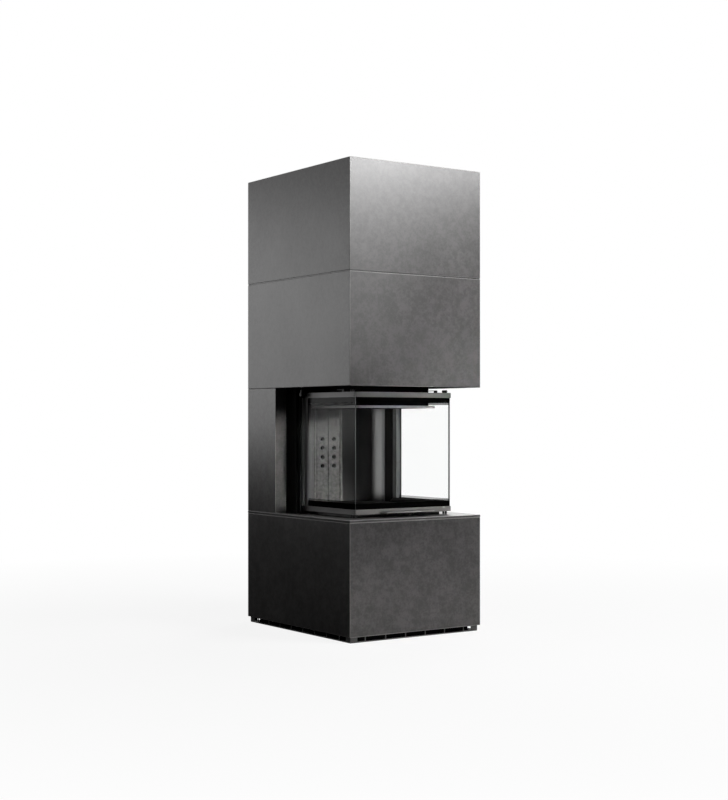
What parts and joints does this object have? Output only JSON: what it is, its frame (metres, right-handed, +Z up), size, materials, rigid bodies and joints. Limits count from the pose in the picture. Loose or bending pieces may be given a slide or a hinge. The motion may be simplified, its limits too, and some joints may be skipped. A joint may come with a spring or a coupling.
{
  "type": "modular fireplace",
  "caption": "Tall free-standing modular fireplace in dark stone panels, with a three-sided glass door that lifts into the upper body.",
  "frame": {"origin": "on the floor, under the middle of the footprint", "axes": "+Z up, +X to the right seen from the front, +Y from the front glass to the back"},
  "size_m": [0.73, 0.88, 2.126],
  "materials": {
    "stone_panel": "satin",
    "black_steel": "satin",
    "door_grey": "satin",
    "grey_steel": "satin",
    "fire_board": "matte",
    "cast_iron": "matte",
    "wire_rope": "satin",
    "clear_glass": "gloss"
  },
  "bodies": {
    "root": {"plinth": "black_steel", "base_frame": "black_steel", "column_frame": "black_steel", "upper_frame": "black_steel", "base_panel_front": "stone_panel", "base_panel_right": "stone_panel", "base_panel_back": "stone_panel", "base_panel_left": "stone_panel", "base_slab": "stone_panel", "column_panel_right": "stone_panel", "column_panel_back": "stone_panel", "column_panel_left": "stone_panel", "reveal_panel_left": "stone_panel", "reveal_panel_right": "stone_panel", "middle_panel_front": "stone_panel", "middle_panel_right": "stone_panel", "middle_panel_back": "stone_panel", "middle_panel_left": "stone_panel", "upper_panel_front": "stone_panel", "upper_panel_right": "stone_panel", "upper_panel_back": "stone_panel", "upper_panel_left": "stone_panel", "soffit_plate": "black_steel", "top_cover": "black_steel", "firebox_casing": "black_steel", "chamber_shell": "black_steel", "guide_rail_left": "grey_steel", "guide_rail_right": "grey_steel", "back_liner_left": "fire_board", "back_liner_right": "fire_board", "corner_liner_left": "fire_board", "corner_liner_right": "fire_board", "side_liner_left": "fire_board", "side_liner_right": "fire_board", "liner_strip_left": "grey_steel", "liner_strip_right": "grey_steel", "hearth_box": "black_steel", "hearth_plate": "cast_iron", "smoke_hood": "black_steel", "baffle_plate": "fire_board", "flue_pipe": "black_steel", "pulley_bracket_left": "grey_steel", "pulley_bracket_right": "grey_steel", "lift_cable_left": "wire_rope", "lift_cable_right": "wire_rope"},
    "door": {"door_top_frame": "door_grey", "door_bottom_frame": "door_grey", "front_glass": "clear_glass", "left_glass": "clear_glass", "right_glass": "clear_glass", "door_stile_left": "grey_steel", "door_stile_right": "grey_steel", "door_handle": "door_grey"},
    "counterweight_left": {"counterweight_left": "cast_iron"},
    "counterweight_right": {"counterweight_right": "cast_iron"},
    "pulley_left": {"pulley_left": "cast_iron"},
    "pulley_right": {"pulley_right": "cast_iron"},
    "air_slider": {"air_slider": "grey_steel"},
    "ash_pan": {"ash_pan": "black_steel"},
    "grate": {"grate": "cast_iron"}
  },
  "joints": [
    {"name": "door_lift", "type": "slide", "parent": "root", "child": "door", "axis": [0, 0, 1], "range_m": [0, 0.5], "deforming": ["lift_cable_left", "lift_cable_right"]},
    {"name": "counterweight_left_slide", "type": "slide", "parent": "root", "child": "counterweight_left", "axis": [0, 0, 1], "range_m": [-0.5, 0]},
    {"name": "counterweight_right_slide", "type": "slide", "parent": "root", "child": "counterweight_right", "axis": [0, 0, 1], "range_m": [-0.5, 0]},
    {"name": "pulley_left_spin", "type": "hinge", "parent": "root", "child": "pulley_left", "pos_m": [-0.2915, 0.1435, 1.7204], "axis": [-1, 0, 0], "range_deg": [0, 400]},
    {"name": "pulley_right_spin", "type": "hinge", "parent": "root", "child": "pulley_right", "pos_m": [0.2915, 0.1435, 1.7204], "axis": [-1, 0, 0], "range_deg": [0, 400]},
    {"name": "air_slide", "type": "slide", "parent": "root", "child": "air_slider", "axis": [1, 0, 0], "range_m": [-0.028, 0.028]},
    {"name": "ash_pan_lift", "type": "slide", "parent": "root", "child": "ash_pan", "axis": [0, 0, 1], "range_m": [0, 0.16]},
    {"name": "grate_lift", "type": "slide", "parent": "ash_pan", "child": "grate", "axis": [0, 0, 1], "range_m": [0, 0.1]}
  ],
  "couplings": [
    {"joint": "counterweight_left_slide", "follows": "door_lift", "ratio": -1},
    {"joint": "counterweight_right_slide", "follows": "door_lift", "ratio": -1},
    {"joint": "pulley_left_spin", "follows": "door_lift", "rad_per_m": 13.793},
    {"joint": "pulley_right_spin", "follows": "door_lift", "rad_per_m": 13.793}
  ]
}
